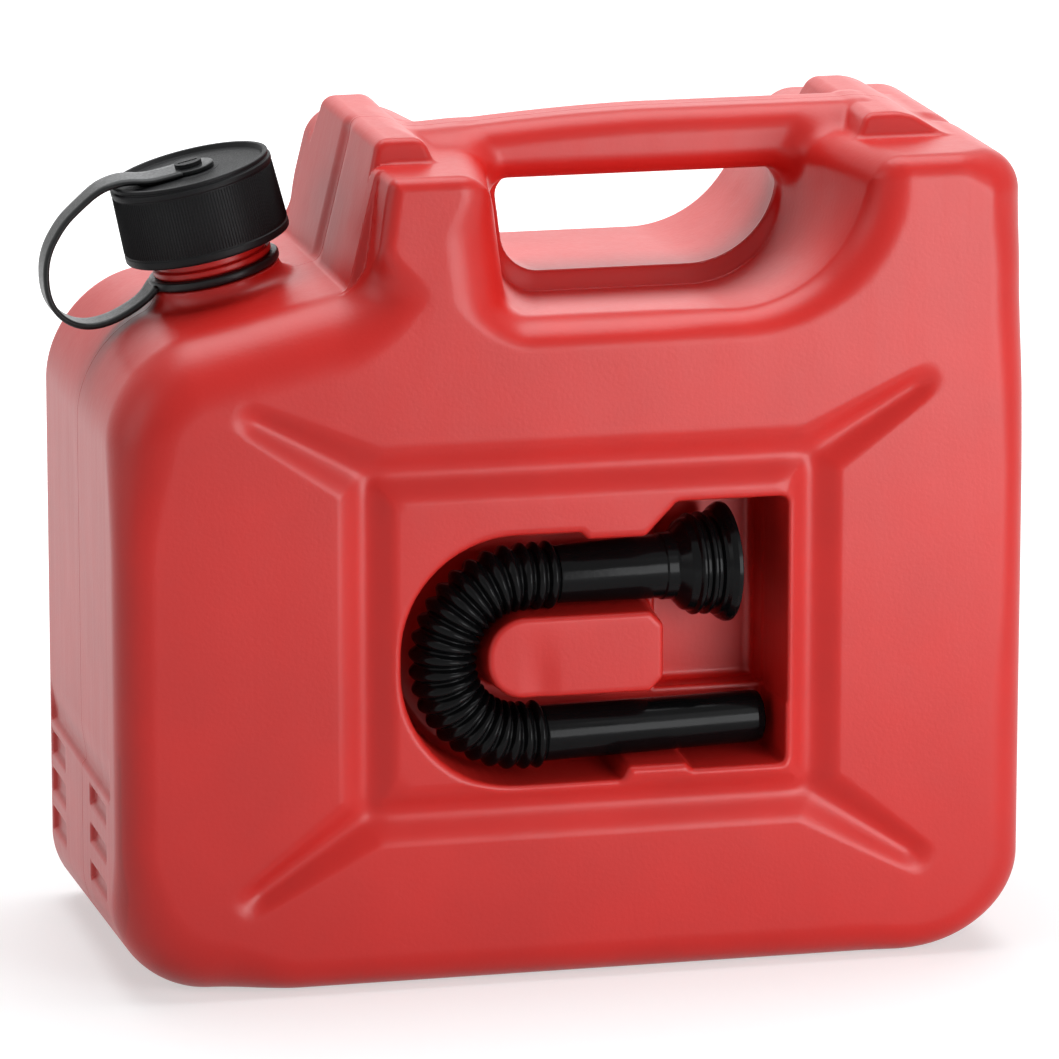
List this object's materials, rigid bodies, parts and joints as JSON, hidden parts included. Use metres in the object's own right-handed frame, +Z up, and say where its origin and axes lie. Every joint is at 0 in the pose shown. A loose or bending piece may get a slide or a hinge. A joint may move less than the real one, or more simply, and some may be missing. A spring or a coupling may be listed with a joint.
{
  "type": "fuel canister",
  "caption": "Blow-moulded portable fuel canister with carrying handle, tethered screw cap and a flexible pouring spout stored in its front panel.",
  "frame": {"origin": "middle of the flat base, on the surface the canister stands on", "axes": "+X along the length, away from the cap; -Y is the face with the spout compartment; +Z up"},
  "size_m": [0.3631, 0.165, 0.32],
  "materials": {
    "red_polyethylene": "satin blow-moulded polyethylene",
    "black_cap_plastic": "matt moulded",
    "black_strap_plastic": "satin moulded",
    "black_spout_plastic": "glossy moulded",
    "seal_rubber": "smooth"
  },
  "bodies": {
    "container": {"container": "red_polyethylene", "cap_tether": "black_strap_plastic"},
    "tether_pin": {"tether_pin": "black_cap_plastic"},
    "cap": {"screw_cap": "black_cap_plastic", "cap_gasket": "seal_rubber"},
    "spout": {"spout_connector": "black_spout_plastic", "spout_hose": "black_spout_plastic", "spout_pipe": "black_spout_plastic"}
  },
  "joints": [
    {"name": "cap_rise", "type": "slide", "parent": "container", "child": "tether_pin", "axis": [-0.2317, 0, 0.9728], "range_m": [0, 0.0075], "deforming": ["cap_tether"]},
    {"name": "cap_turn", "type": "hinge", "parent": "tether_pin", "child": "cap", "pos_m": [-0.12, 0, 0.25595], "axis": [-0.2317, 0, 0.9728], "range_deg": [0, 540]},
    {"name": "spout_lift_out", "type": "slide", "parent": "container", "child": "spout", "axis": [0, -1, 0], "range_m": [0, 0.06]}
  ],
  "couplings": [
    {"joint": "cap_rise", "follows": "cap_turn", "m_per_rad": 0.00079577}
  ]
}
